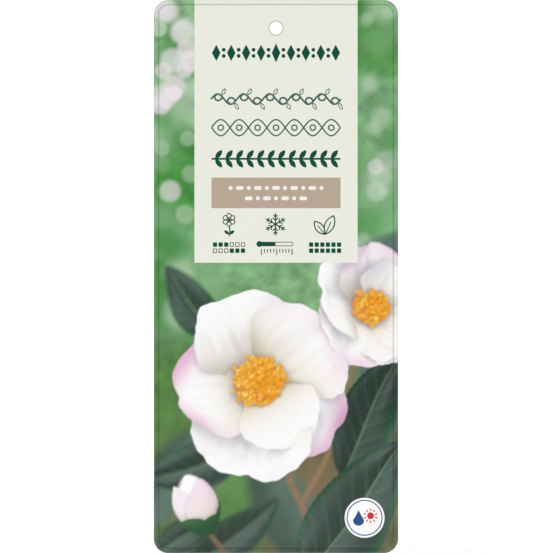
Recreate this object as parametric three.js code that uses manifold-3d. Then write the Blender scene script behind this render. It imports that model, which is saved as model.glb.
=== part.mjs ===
// A hang label for a garden shrub: a plastic core, a film on its back and a printed, laminated
// face in three areas, punched for a tie.
// Millimetres, +Z up. The label hangs upright from its hole, which is the origin, and its
// front faces -Y.
import * as THREE from 'three';
import { mergeVertices } from 'three/addons/utils/BufferGeometryUtils.js';
import Module from 'manifold-3d';

const wasm = await Module();
wasm.setup();

// The card's outline and its hole.
const LABEL_WIDTH = 94;
const LABEL_HEIGHT = 213;
const CORNER_RADIUS = 5.6;
const HOLE_DIAMETER = 4.9;
const HOLE_BELOW_TOP = 10.9;

// The layers, from the back of the label to its front.
const BACK_FILM_THICKNESS = 0.1;
const CORE_THICKNESS = 0.35;
const FACE_THICKNESS = 0.15;

// The core's top strip, which carries the label at the hole in its middle.
const HANG_STRIP_HEIGHT = 2 * HOLE_BELOW_TOP;

// The pale text panel runs down from the top edge, with a coloured band across it.
const PANEL_WIDTH = 62.8;
const PANEL_HEIGHT = 101.2;
const BAND_WIDTH = 49.7;
const BAND_HEIGHT = 11.8;
const BAND_BELOW_TOP = 68.4;

// The fine line pressed into the face, just inside the edge.
const LINE_INSET = 1.8;
const LINE_WIDTH = 0.45;
const LINE_DEPTH = 0.04;

const ARC_SEGMENTS = 14;
const HOLE_SEGMENTS = 48;
// A cutter passes this far beyond the faces that it cuts.
const CUT_MARGIN = 1;

// Places that follow from the sizes.
const TOP = HOLE_BELOW_TOP;
const CENTRE_HEIGHT = TOP - LABEL_HEIGHT / 2;
const LABEL_BACK = (BACK_FILM_THICKNESS + CORE_THICKNESS + FACE_THICKNESS) / 2;
const CORE_BACK = LABEL_BACK - BACK_FILM_THICKNESS;
const FACE_BACK = CORE_BACK - CORE_THICKNESS;

// A rectangle with rounded corners, centred on the label.
function roundedOutline(width, height, radius) {
  const x = width / 2 - radius;
  const z = height / 2 - radius;
  const outline = new THREE.Shape();
  outline.absarc(x, CENTRE_HEIGHT + z, radius, 0, Math.PI / 2);
  outline.absarc(-x, CENTRE_HEIGHT + z, radius, Math.PI / 2, Math.PI);
  outline.absarc(-x, CENTRE_HEIGHT - z, radius, Math.PI, Math.PI * 1.5);
  outline.absarc(x, CENTRE_HEIGHT - z, radius, Math.PI * 1.5, Math.PI * 2);
  outline.closePath();
  return outline;
}

// An upright plate of a flat outline. Its back lies in the plane y = 0 and it grows towards -Y.
function plateGeometry(outline, thickness) {
  const settings = { depth: thickness, bevelEnabled: false, curveSegments: ARC_SEGMENTS };
  const geometry = new THREE.ExtrudeGeometry(outline, settings);
  return geometry.rotateX(Math.PI / 2);
}

function toSolid(geometry) {
  const bare = geometry.index ? geometry.toNonIndexed() : geometry.clone();
  bare.deleteAttribute('normal');
  bare.deleteAttribute('uv');
  const merged = mergeVertices(bare, 1e-4);
  return new wasm.Manifold(new wasm.Mesh({
    numProp: 3,
    vertProperties: new Float32Array(merged.attributes.position.array),
    triVerts: new Uint32Array(merged.index.array),
  }));
}

function toGeometry(solid) {
  const mesh = solid.getMesh();
  const geometry = new THREE.BufferGeometry();
  geometry.setAttribute('position', new THREE.BufferAttribute(mesh.vertProperties, 3));
  geometry.setIndex(new THREE.BufferAttribute(mesh.triVerts, 1));
  geometry.computeVertexNormals();
  return geometry;
}

const labelOutline = roundedOutline(LABEL_WIDTH, LABEL_HEIGHT, CORNER_RADIUS);

function labelSolid(thickness) {
  return toSolid(plateGeometry(labelOutline, thickness));
}

// The punch that opens the hole through every layer.
function holePunch() {
  const radius = HOLE_DIAMETER / 2;
  return toSolid(new THREE.CylinderGeometry(radius, radius, 2 * CUT_MARGIN, HOLE_SEGMENTS));
}

// A block that covers a rectangle of the front, between two heights, through any layer.
function windowBlock(width, top, bottom) {
  const block = new THREE.BoxGeometry(width, 2 * CUT_MARGIN, top - bottom);
  return toSolid(block.translate(0, 0, (top + bottom) / 2));
}

const STRIP_BOTTOM = TOP - HANG_STRIP_HEIGHT;
const PANEL_BOTTOM = TOP - PANEL_HEIGHT;
const BAND_TOP = TOP - BAND_BELOW_TOP;
const BAND_BOTTOM = BAND_TOP - BAND_HEIGHT;

function stripWindow() {
  return windowBlock(LABEL_WIDTH + 2 * CUT_MARGIN, TOP + CUT_MARGIN, STRIP_BOTTOM);
}

function panelWindow() {
  return windowBlock(PANEL_WIDTH, TOP + CUT_MARGIN, PANEL_BOTTOM);
}

function bandWindow() {
  return windowBlock(BAND_WIDTH, BAND_TOP, BAND_BOTTOM);
}

// The ring-shaped cutter for the pressed line, as deep as the line.
function lineCutter() {
  const outer = LINE_INSET - LINE_WIDTH / 2;
  const inner = LINE_INSET + LINE_WIDTH / 2;
  const ring = (inset) => plateGeometry(
    roundedOutline(LABEL_WIDTH - 2 * inset, LABEL_HEIGHT - 2 * inset, CORNER_RADIUS - inset),
    CUT_MARGIN,
  );
  const cutter = toSolid(ring(outer)).subtract(toSolid(ring(inner)));
  return cutter.translate([0, LINE_DEPTH - FACE_THICKNESS, 0]);
}

const label = new THREE.Group();

function addLayer(name, solid, back, material) {
  const mesh = new THREE.Mesh(toGeometry(solid), new THREE.MeshStandardMaterial(material));
  mesh.name = name;
  mesh.position.y = back;
  label.add(mesh);
}

// The white plastic core, in two lengths that meet edge to edge: the strip round the hole and
// the sheet that it carries. Then the film over the core's plain back.
const core = labelSolid(CORE_THICKNESS).subtract(holePunch());
addLayer('hang_strip', core.intersect(stripWindow()), CORE_BACK,
  { color: '#f2f2ee', roughness: 0.6, metalness: 0 });
addLayer('core_sheet', core.subtract(stripWindow()), CORE_BACK,
  { color: '#f2f2ee', roughness: 0.6, metalness: 0 });
addLayer('back_film', labelSolid(BACK_FILM_THICKNESS).subtract(holePunch()), LABEL_BACK,
  { color: '#f4f5f2', roughness: 0.35, metalness: 0 });

// The printed face: the picture round three sides, the pale panel in its gap, and the band
// in the panel. All three are one thickness, and lie edge to edge.
const face = labelSolid(FACE_THICKNESS).subtract(holePunch()).subtract(lineCutter());
addLayer('picture_face', face.subtract(panelWindow()), FACE_BACK,
  { color: '#6f9a72', roughness: 0.25, metalness: 0 });
addLayer('panel_face', face.intersect(panelWindow()).subtract(bandWindow()), FACE_BACK,
  { color: '#ecebde', roughness: 0.25, metalness: 0 });
addLayer('band_face', face.intersect(bandWindow()), FACE_BACK,
  { color: '#b9a492', roughness: 0.25, metalness: 0 });

export default label;
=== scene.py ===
import itertools
import math
import random

import bmesh
import bpy
from bpy.props import FloatProperty, FloatVectorProperty, IntProperty, PointerProperty
from mathutils import Matrix, Vector, noise
from mathutils.bvhtree import BVHTree
from mathutils.interpolate import poly_3d_calc


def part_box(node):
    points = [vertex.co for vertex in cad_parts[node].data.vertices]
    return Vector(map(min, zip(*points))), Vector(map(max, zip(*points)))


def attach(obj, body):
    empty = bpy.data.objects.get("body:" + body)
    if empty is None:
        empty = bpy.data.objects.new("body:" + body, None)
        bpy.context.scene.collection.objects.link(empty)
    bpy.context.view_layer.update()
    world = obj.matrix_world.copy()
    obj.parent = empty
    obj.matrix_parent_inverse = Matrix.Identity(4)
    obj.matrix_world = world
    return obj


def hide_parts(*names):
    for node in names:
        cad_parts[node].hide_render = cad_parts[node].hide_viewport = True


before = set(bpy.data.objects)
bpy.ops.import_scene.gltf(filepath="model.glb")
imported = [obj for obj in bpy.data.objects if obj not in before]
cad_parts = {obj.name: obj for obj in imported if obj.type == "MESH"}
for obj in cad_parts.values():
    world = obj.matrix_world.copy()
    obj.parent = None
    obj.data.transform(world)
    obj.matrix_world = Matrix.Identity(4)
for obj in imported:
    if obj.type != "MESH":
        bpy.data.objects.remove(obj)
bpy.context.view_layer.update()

bl_info = {
    "name": "Plant Hang Label",
    "version": (1, 0, 0),
    "blender": (4, 5, 0),
    "location": "3D View > Sidebar > Label",
    "description": "Dresses a laminated plant hang label: its card, its picture and its panel",
    "category": "Add Mesh",
}

# Units. Sizes in this file are millimetres times MM, which makes them Blender's metres.
MM = 0.001

# The card as model.glb gives it: the hole is at the origin and the front faces -Y.
LABEL_LOW, LABEL_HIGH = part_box("picture_face")
PANEL_LOW, PANEL_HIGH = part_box("panel_face")
BAND_LOW, BAND_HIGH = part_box("band_face")
FACE_BACK = LABEL_HIGH.y
FACE_FRONT = LABEL_LOW.y
LABEL_TOP = LABEL_HIGH.z
LABEL_BOTTOM = LABEL_LOW.z
HALF_WIDTH = LABEL_HIGH.x
LABEL_MIDDLE = (LABEL_TOP + LABEL_BOTTOM) / 2
HALF_HEIGHT = (LABEL_TOP - LABEL_BOTTOM) / 2
CORNER_RADIUS = 5.6 * MM
HOLE_RADIUS = 2.45 * MM
HOLE_SIDES = 48
ARC_STEPS = 14

# How far each printed layer stands out from the core, as a share of the face's thickness.
PRINT_LIFT = 0.96
BADGE_LIFT = 0.966
MARK_LIFT = 0.982
BADGE_MARK_LIFT = 0.985
MARK_THICKNESS = 0.005 * MM
# Shapes of one print that may cross lie a hair apart, so that no two faces coincide.
LEVEL_STEP = 0.0002 * MM
LEVELS = itertools.cycle(range(1, 7))

GOLDEN_ANGLE = math.pi * (3 - math.sqrt(5))

# Turns a shape drawn flat in X and Y upright, so that it faces the reader.
STAND_UP = Matrix.Rotation(math.radians(90), 4, "X")


def depth(lift):
    """The Y of a layer that stands out from the core by a share of the face's thickness."""
    return FACE_BACK + (FACE_FRONT - FACE_BACK) * lift


def ink(code):
    """Linear red, green, blue and alpha of an sRGB hex colour."""
    parts = [int(code[i:i + 2], 16) / 255 for i in (1, 3, 5)]
    return tuple(p / 12.92 if p <= 0.04045 else ((p + 0.055) / 1.055) ** 2.4 for p in parts) + (1,)


def mix(first, second, share):
    """A colour between two, at share 0 to 1 of the way."""
    share = min(max(share, 0), 1)
    return tuple(a + (b - a) * share for a, b in zip(first, second))


def ramp(value, low, high):
    """0 below low, 1 above high, with a smooth rise between them."""
    t = min(max((value - low) / (high - low), 0), 1)
    return t * t * (3 - 2 * t)


# ---------------------------------------------------------------- what a user may change

def length(name, description, default):
    return FloatProperty(
        name=name, description=description, default=default * MM, unit="LENGTH", precision=5)


def colour(name, description, code):
    return FloatVectorProperty(
        name=name, description=description, default=ink(code)[:3], subtype="COLOR", size=3,
        min=0, max=1)


def factor(name, description, default):
    return FloatProperty(
        name=name, description=description, default=default, min=0, max=1, subtype="FACTOR")


class PanelPrint(bpy.types.PropertyGroup):
    """The pale panel, its band and its marks."""
    panel_colour: colour("Panel", "Ink of the pale text panel", "#EDEDE2")
    edge_colour: colour("Panel top", "Ink of the strip above the pressed line", "#E7EEDF")
    band_colour: colour("Band", "Ink of the band", "#B9A896")
    bold_colour: colour("Bold marks", "Ink of the heavy ornaments and care marks", "#07503B")
    fine_colour: colour("Fine marks", "Ink of the thin ornaments", "#47685C")
    ring_colour: colour("Ring", "Ink of the ring round the hole", "#B7C3B2")
    fine_stroke: length("Fine stroke", "Width of a thin line of ornament", 0.7)
    icon_stroke: length("Icon stroke", "Width of a line in a care mark", 0.48)


class PicturePrint(bpy.types.PropertyGroup):
    """The blooms, leaves and soft garden of the picture."""
    petal_colour: colour("Petal", "White of a petal in full light", "#FCFBFC")
    throat_colour: colour("Throat", "Cream at the foot of a petal", "#DDD0A6")
    blush_colour: colour("Blush", "Pink at a petal's rim", "#E2A3CB")
    anther_colour: colour("Anther", "Gold of the stamens' tips", "#FDBB30")
    leaf_colour: colour("Leaf", "Upper face of a leaf", "#34473F")
    rim_colour: colour("Leaf rim", "Fresh green near a leaf's edge", "#215A34")
    vein_colour: colour("Vein", "Midrib and side veins of a leaf", "#8FB084")
    twig_colour: colour("Twig", "Bark of a twig", "#A98A68")
    petal_cells: IntProperty(
        name="Petal cells", description="Cells along a petal's side", default=56, min=8, max=80)


class GardenPrint(bpy.types.PropertyGroup):
    """Tones of the garden that lies out of focus behind the spray."""
    pale: colour("Pale", "Foliage in full sun", "#88B484")
    fresh: colour("Fresh", "Lawn in the sun", "#559A4D")
    mid: colour("Mid", "Foliage in open shade", "#78A877")
    deep: colour("Deep", "Hollows in the foliage", "#2E8228")
    moss: colour("Moss", "Foliage close to the ground", "#547D42")
    olive: colour("Olive", "Undergrowth", "#64694A")
    earth: colour("Earth", "Bare ground", "#83694F")
    shade: colour("Shade", "Dark side of a large leaf", "#41564B")
    sheen: colour("Sheen", "Light side of a large leaf", "#5C7468")
    glint: colour("Glint", "A greenish disc of light", "#C2D8BE")
    light: colour("Light", "A pinkish disc of light", "#EFE4EC")


class FilmFinish(bpy.types.PropertyGroup):
    """The gloss film over the print, and the line pressed into it."""
    shine: factor("Shine", "Specular level of the film", 0.35)
    roughness: factor("Roughness", "Middle roughness of the film", 0.24)
    line_inset: length("Line inset", "From the card's edge to the pressed line", 1.8)
    line_width: length("Line width", "Width of the pressed line", 0.66)
    line_dimming: factor("Line dimming", "Light that the pressed line takes away", 0.28)
    edge_width: length("Edge width", "Width of the darker rim at the card's edge", 0.8)


class BadgePrint(bpy.types.PropertyGroup):
    """The round badge."""
    radius: length("Radius", "Radius of the badge", 7.7)
    ground_colour: colour("Ground", "White ground of the badge", "#FBFBFA")
    drop_colour: colour("Drop", "Blue of the water drop and the rim", "#1D4E8F")
    sun_colour: colour("Sun", "Red of the sun", "#D8262C")


class StudioSetup(bpy.types.PropertyGroup):
    """Floor, light and camera."""
    floor_drop: length("Floor drop", "From the label's foot to the floor", 9)
    floor_radius: length("Floor radius", "Radius of the pale floor", 500)
    floor_colour: colour("Floor", "Pale floor", "#FFFFFF")
    lens: FloatProperty(name="Lens", description="Focal length in millimetres", default=180, min=20)


# ---------------------------------------------------------------- meshes and pieces

def new_piece(name, bm, material):
    """Store a bmesh as a finished object of the scene."""
    mesh = bpy.data.meshes.new(name)
    bm.to_mesh(mesh)
    bm.free()
    mesh.materials.append(material)
    piece = bpy.data.objects.new(name, mesh)
    bpy.context.scene.collection.objects.link(piece)
    return piece


def keep_piece(name, bm, material, covers=()):
    """Store a bmesh as a piece that rides on the label."""
    piece = new_piece(name, bm, material)
    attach(piece, "root")
    if covers:
        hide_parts(*covers)


# Points nearer than this become one where a leaf shape closes to its tip, and a cut takes in
# the points that lie this near to it.
POINT_WELD = 0.002 * MM
CUT_TOLERANCE = 0.0001 * MM


def sheet(bm, width, height, x=0.0, y=0.0):
    """A flat rectangle in X and Y, centred on x, y."""
    verts = bmesh.ops.create_grid(bm, x_segments=1, y_segments=1, size=0.5)["verts"]
    bmesh.ops.scale(bm, vec=(width, height, 1), verts=verts)
    place(bm, verts, x, y)
    return verts


def box_sheet(bm, low, high):
    """The flat rectangle that a node's box shows to the reader."""
    sheet(bm, high.x - low.x, high.z - low.z, (high.x + low.x) / 2, (high.z + low.z) / 2)


def place(bm, verts, x, y, turn=0.0):
    """Turn a shape by degrees and put it at x, y, on the next level of its print."""
    bmesh.ops.rotate(
        bm, verts=verts, cent=(0, 0, 0), matrix=Matrix.Rotation(math.radians(turn), 3, "Z"))
    bmesh.ops.translate(bm, verts=verts, vec=(x, y, next(LEVELS) * LEVEL_STEP))


def rounded_sheet(bm, width, height, radius, steps, x, y):
    """A flat rectangle with round corners."""
    old = set(bm.verts)
    verts = sheet(bm, width, height)
    bmesh.ops.bevel(
        bm, geom=verts, offset=radius, offset_type="OFFSET", segments=steps, profile=0.5,
        affect="VERTICES", material=-1)
    verts = [v for v in bm.verts if v not in old]
    place(bm, verts, x, y)
    return verts


def lay_low(bm, verts):
    """Put a shape that others cross on the lowest level of its print."""
    bmesh.ops.scale(bm, vec=(1, 1, 0), verts=verts)


def disc(bm, radius, x, y, sides):
    """A flat disc, or a flat shape with a few equal sides."""
    verts = bmesh.ops.create_circle(bm, cap_ends=True, segments=sides, radius=radius)["verts"]
    place(bm, verts, x, y)
    return verts


def hollow(bm, verts, stroke):
    """Open the middle of a flat face, leaving a rim as wide as the stroke."""
    faces = list({f for v in verts for f in v.link_faces})
    bmesh.ops.inset_region(
        bm, faces=faces, thickness=stroke, use_even_offset=True, use_boundary=True)
    bmesh.ops.delete(bm, geom=faces, context="FACES_ONLY")


def ribbon(bm, route, width, steps, x, y, turn=0.0, mirror=False):
    """A flat line of even width along route(t), which gives an (x, y) for t from 0 to 1."""
    verts = bmesh.ops.create_grid(bm, x_segments=steps, y_segments=1, size=0.5)["verts"]
    for vert in verts:
        t = vert.co.x + 0.5
        here = Vector(route(t))
        along = (Vector(route(t + 0.001)) - Vector(route(t - 0.001))).normalized()
        side = 1 if vert.co.y > 0 else -1
        spot = here + Vector((-along.y, along.x)) * (side * width / 2)
        vert.co = (-spot.x if mirror else spot.x, spot.y, 0)
    if mirror:
        bmesh.ops.reverse_faces(bm, faces=list({f for v in verts for f in v.link_faces}))
    place(bm, verts, x, y, turn)
    return verts


def bar(bm, foot, tip, width, x, y, turn, mirror=False):
    """A straight flat line from foot to tip, each an (x, y)."""
    foot, tip = Vector(foot), Vector(tip)
    ribbon(bm, lambda t: foot.lerp(tip, t), width, 1, x, y, turn, mirror)


def blade(bm, long, wide, x, y, turn, steps=10):
    """A solid leaf shape with two points, lying along Y from its foot at x, y."""
    verts = bmesh.ops.create_grid(bm, x_segments=2, y_segments=steps, size=0.5)["verts"]
    for vert in verts:
        t = vert.co.y + 0.5
        vert.co = (vert.co.x * wide * math.sin(math.pi * t) ** 0.8, t * long, 0)
    bmesh.ops.remove_doubles(bm, verts=verts, dist=POINT_WELD)
    verts = [v for v in verts if v.is_valid]
    place(bm, verts, x, y, turn)
    return verts


def print_flat(bm, lift, thickness=MARK_THICKNESS):
    """Stand flat drawn shapes up as a thin layer of ink whose front is at that lift."""
    bmesh.ops.transform(
        bm, matrix=Matrix.Translation((0, depth(lift), 0)) @ STAND_UP, verts=bm.verts[:])
    bmesh.ops.solidify(bm, geom=bm.faces[:], thickness=thickness)


def turn_faces(bm, way):
    """Make an open mesh's faces agree, and look that way."""
    bmesh.ops.recalc_face_normals(bm, faces=bm.faces[:])
    if sum(f.normal.dot(Vector(way)) for f in bm.faces) < 0:
        bmesh.ops.reverse_faces(bm, faces=bm.faces[:])


def across(x):
    """X of a place given in millimetres from the label's left edge."""
    return x * MM - HALF_WIDTH


def down(y):
    """Z of a place given in millimetres below the label's top edge."""
    return LABEL_TOP - y * MM


def trim_to_label(bm):
    """Cut a mesh off at the card's edges and round corners."""
    cuts = [((side * HALF_WIDTH, 0, 0), (side, 0, 0)) for side in (-1, 1)]
    cuts += [((0, 0, LABEL_TOP), (0, 0, 1)), ((0, 0, LABEL_BOTTOM), (0, 0, -1))]
    for side, end, height in ((1, 1, LABEL_TOP), (-1, 1, LABEL_TOP),
                              (1, -1, LABEL_BOTTOM), (-1, -1, LABEL_BOTTOM)):
        middle = Vector((side * (HALF_WIDTH - CORNER_RADIUS), 0, height - end * CORNER_RADIUS))
        for step in range(1, ARC_STEPS):
            angle = math.radians(90 * step / ARC_STEPS)
            out = Vector((side * math.cos(angle), 0, end * math.sin(angle)))
            cuts.append((middle + out * CORNER_RADIUS, out))
    for point, outward in cuts:
        # Only a corner's own cells can reach past one of its cuts.
        near = [f for f in bm.faces if all(
            (v.co - Vector(point)).dot(Vector(outward)) > -CORNER_RADIUS for v in f.verts)]
        geom = {e for f in near for e in f.edges} | {v for f in near for v in f.verts}
        bmesh.ops.bisect_plane(
            bm, geom=list(geom) + near, dist=CUT_TOLERANCE, plane_co=point, plane_no=outward,
            clear_outer=True)


# ---------------------------------------------------------------- materials

def add_node(tree, kind, inputs=None, **settings):
    """Add a node. An input is a value, a socket, or another node whose result it takes."""
    made = tree.nodes.new("ShaderNode" + kind)
    for key, value in settings.items():
        setattr(made, key, value)
    for key, value in (inputs or {}).items():
        # A socket goes by its name or its number, among those that the settings leave open.
        socket = next(s for i, s in enumerate(made.inputs) if s.enabled and key in (i, s.name))
        if isinstance(value, bpy.types.Node):
            value = next(s for s in value.outputs if s.enabled)
        if isinstance(value, bpy.types.NodeSocket):
            tree.links.new(value, socket)
        else:
            socket.default_value = value
    return made


def new_material(name):
    """A material and its empty tree, for nodes that end in close_shader."""
    material = bpy.data.materials.new(name)
    material.use_nodes = True
    material.node_tree.nodes.clear()
    return material, material.node_tree


def close_shader(tree, inputs):
    """End a material's tree in one Principled shader."""
    shader = add_node(tree, "BsdfPrincipled", inputs)
    add_node(tree, "OutputMaterial", {"Surface": shader})


def edge_inset(tree, spot):
    """How far a point of the face lies inside the card's edge, up to a corner's radius."""
    upright = add_node(
        tree, "Mapping",
        {"Vector": spot, "Location": (0, 0, -LABEL_MIDDLE), "Scale": (1, 0, 1)})
    folded = add_node(tree, "VectorMath", {0: upright}, operation="ABSOLUTE")
    straight = (HALF_WIDTH - CORNER_RADIUS, 0, HALF_HEIGHT - CORNER_RADIUS)
    past = add_node(tree, "VectorMath", {0: folded, 1: straight}, operation="SUBTRACT")
    outside = add_node(tree, "VectorMath", {0: past, 1: (0, 0, 0)}, operation="MAXIMUM")
    reach = add_node(tree, "VectorMath", {0: outside}, operation="LENGTH")
    return add_node(tree, "Math", {0: CORNER_RADIUS, 1: reach}, operation="SUBTRACT")


# Gloss film over offset print: the film's surface is smooth with a faint long ripple, so a
# reflection wavers a little, and the ink under it shows a fine paper-like grain. A fine line
# is pressed into it all round, and painted shade darkens it. The border outside the line is a
# little lighter, and painted shade darkens its rim at the card's edge.
FILM_RIPPLE = 22 * MM
PRINT_GRAIN = 0.35 * MM
# How much painted shade darkens the card's rim.
RIM_PAINTED_SHADE = 0.15
BORDER_LIFT = 0.03
PRESS_DEPTH = 0.04 * MM
# The pressed line is at full depth up to the first share of its width from its middle, and ends
# at the second.
PRESS_FULL = 0.3
PRESS_ENDS = 0.7
ROUGHNESS_SWING = 0.05
# How strongly the grain shows: in the four-colour picture, in the panel's tint and in full ink.
PICTURE_GRAIN = 0.015
PANEL_GRAIN = 0.012
INK_GRAIN = 0.03


def film_over(tree, base, grain):
    """End a material's tree in the gloss film, over a colour that may be a node."""
    film = bpy.context.scene.film_finish
    spot = add_node(tree, "TexCoord").outputs["Object"]
    inset = edge_inset(tree, spot)
    off_line = add_node(tree, "Math", {0: inset, 1: film.line_inset}, operation="SUBTRACT")
    off_line = add_node(tree, "Math", {0: off_line}, operation="ABSOLUTE")
    fades = []
    for value, start, end, high in (
            (off_line, film.line_width * PRESS_FULL, film.line_width * PRESS_ENDS, 1.0),
            (inset, 0.0, film.edge_width, RIM_PAINTED_SHADE),
            (inset, film.line_inset - film.line_width, film.line_inset, BORDER_LIFT)):
        # High at the start and before it, nothing at the end and beyond, and smooth between.
        fades.append(add_node(
            tree, "MapRange",
            {"Value": value, "From Min": start, "From Max": end, "To Min": high, "To Max": 0.0},
            interpolation_type="SMOOTHSTEP"))
    pressed, rim, border = fades
    specks = add_node(tree, "TexNoise", {"Vector": spot, "Scale": 1 / PRINT_GRAIN, "Detail": 1.0})
    bright = add_node(
        tree, "MapRange",
        {"Value": specks, "From Min": 0.3, "From Max": 0.7, "To Min": 1 - grain,
         "To Max": 1 + grain})
    bright = add_node(tree, "Math", {0: bright, 1: border}, operation="ADD")
    # Painted shade darkens the rim at the card's edge.
    bright = add_node(tree, "Math", {0: bright, 1: rim}, operation="SUBTRACT")
    # The pressed line is a real groove in the bump below, and painted shade darkens it.
    bright = add_node(
        tree, "Math", {0: pressed, 1: -film.line_dimming, 2: bright}, operation="MULTIPLY_ADD")
    printed = add_node(tree, "VectorMath", {0: base, "Scale": bright}, operation="SCALE")
    ripple = add_node(tree, "TexNoise", {"Vector": spot, "Scale": 1 / FILM_RIPPLE, "Detail": 1.0})
    polish = add_node(
        tree, "MapRange",
        {"Value": ripple, "To Min": film.roughness - ROUGHNESS_SWING,
         "To Max": film.roughness + ROUGHNESS_SWING})
    wavy = add_node(tree, "Bump", {"Height": ripple, "Strength": 0.12, "Distance": 1 * MM})
    grooved = add_node(
        tree, "Bump", {"Height": pressed, "Distance": PRESS_DEPTH, "Normal": wavy}, invert=True)
    close_shader(tree, {"Base Color": printed, "Roughness": polish, "Normal": grooved,
                        "Specular IOR Level": film.shine, "IOR": 1.5})


def plain_ink(name, rgb):
    """One printed ink under the gloss film."""
    material, tree = new_material(name)
    film_over(tree, rgb, INK_GRAIN)
    return material


def picture_ink(name):
    """Four-colour print under the gloss film; the colour is painted on the mesh."""
    material, tree = new_material(name)
    film_over(tree, add_node(tree, "Attribute", attribute_name="ink"), PICTURE_GRAIN)
    return material


# ---------------------------------------------------------------- the picture's plants

# The picture is modelled as a real spray of blooms and leaves behind the label's front, lit by
# a soft sky, and then taken onto the printed sheet through a lens. Its front is towards -Y.

TOWARDS_READER = Vector((0, -1, 0))


def grow(bm, cells_across, cells_along, shape):
    """A sheet of cells; shape(a, b) with a and b from -1 to 1 gives its point and colour."""
    paint = bm.verts.layers.float_color["ink"]
    made = bmesh.ops.create_grid(
        bm, x_segments=cells_across, y_segments=cells_along, size=1.0)["verts"]
    for vert in made:
        point, rgb = shape(vert.co.x, vert.co.y)
        vert.co = point
        vert[paint] = tuple(rgb[:3]) + (1,)


def new_sketch():
    """A bmesh with the picture's paint layer."""
    bm = bmesh.new()
    bm.verts.layers.float_color.new("ink")
    return bm


def rough(x, y, z):
    """Smooth noise from -1 to 1 at a place."""
    return noise.noise(Vector((x, y, z)))


def to_disc(x, y):
    """Draw a square of cells from -1 to 1 out to a round disc."""
    return x * math.sqrt(1 - y * y / 2), y * math.sqrt(1 - x * x / 2)


def petal(bm, cells, to_world, form, seed, inks):
    """One petal on a bloom's axis: broad, cupped at its foot and flared at its ruffled rim."""
    turn, lean, roll, long, wide, rise, flare, cup, blush = form
    white, cream, olive, pink = inks
    size = long * MM
    pose = (to_world
            @ Matrix.Rotation(math.radians(turn), 4, "Z")
            @ Matrix.Rotation(math.radians(lean), 4, "X")
            @ Matrix.Rotation(math.radians(roll), 4, "Y"))

    def shape(x, y):
        # The disc is drawn out to the petal's outline.
        a, b = to_disc(x, y)
        rim = math.sqrt(a * a + b * b)
        angle = math.atan2(a, b)
        lobes = 0.10 * rough(math.cos(angle) * 1.7, math.sin(angle) * 1.7, seed)
        lobes += 0.035 * rough(math.cos(angle) * 6, math.sin(angle) * 6, seed + 4)
        notch = 0.085 * math.exp(-((angle - 0.25 * rough(seed, 1, 1)) / 0.17) ** 2)
        swell = 1 + (lobes - notch) * rim * rim
        a, b = a * swell, b * swell
        s = (b + 1) / 2
        narrow = 0.42 + 0.58 * ramp(s, 0.0, 0.5)
        edge = ramp(rim, 0.5, 1.0)
        ruffle = edge * (0.03 * math.sin(4 * angle + seed) + 0.045 * rough(a * 2.1, b * 2.1, seed))
        billow = 0.07 * rough(a * 1.1, b * 1.1, seed + 7) * ramp(s, 0.1, 0.7)
        crease = 0.02 * rough(a * 6.5, s * 1.7, seed + 20) * ramp(s, 0.1, 0.4) * (1 - edge)
        keel = -0.035 * math.exp(-(a / 0.13) ** 2) * ramp(s, 0.15, 0.5) * (1 - ramp(s, 0.6, 0.95))
        height = (rise * (1 - (1 - s) ** 2) - flare * s ** 3 + cup * a * a * (0.3 + 0.7 * s)
                  + ruffle + billow + crease + keel)
        spot = Vector((a * wide * size * narrow, size * (0.03 + 0.97 * s), size * height))
        tint = mix(white, cream, 0.8 * math.exp(-(s / 0.42) ** 2))
        tint = mix(tint, olive, 0.8 * math.exp(-(s / 0.24) ** 2))
        patch = min(max(0.4 + 1.3 * rough(a * 1.2, b * 1.2, seed + 3), 0), 1)
        tint = mix(tint, pink, blush * patch * ramp(rim, 0.45, 1.0) * ramp(s, 0.35, 0.8))
        fan = math.sin(a * 30 + 2.5 * rough(a * 3, s * 2, seed + 40))
        tint = mix(tint, cream, 0.09 * ramp(fan, 0.1, 1.0) * ramp(s, 0.2, 0.5) * (1 - edge))
        return pose @ spot, tint

    grow(bm, cells, cells, shape)


# Shapes are added to a small sketch much faster than to a large one.
STAMENS_A_SKETCH = 20
HALF_STRAND = 0.2 * MM


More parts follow.
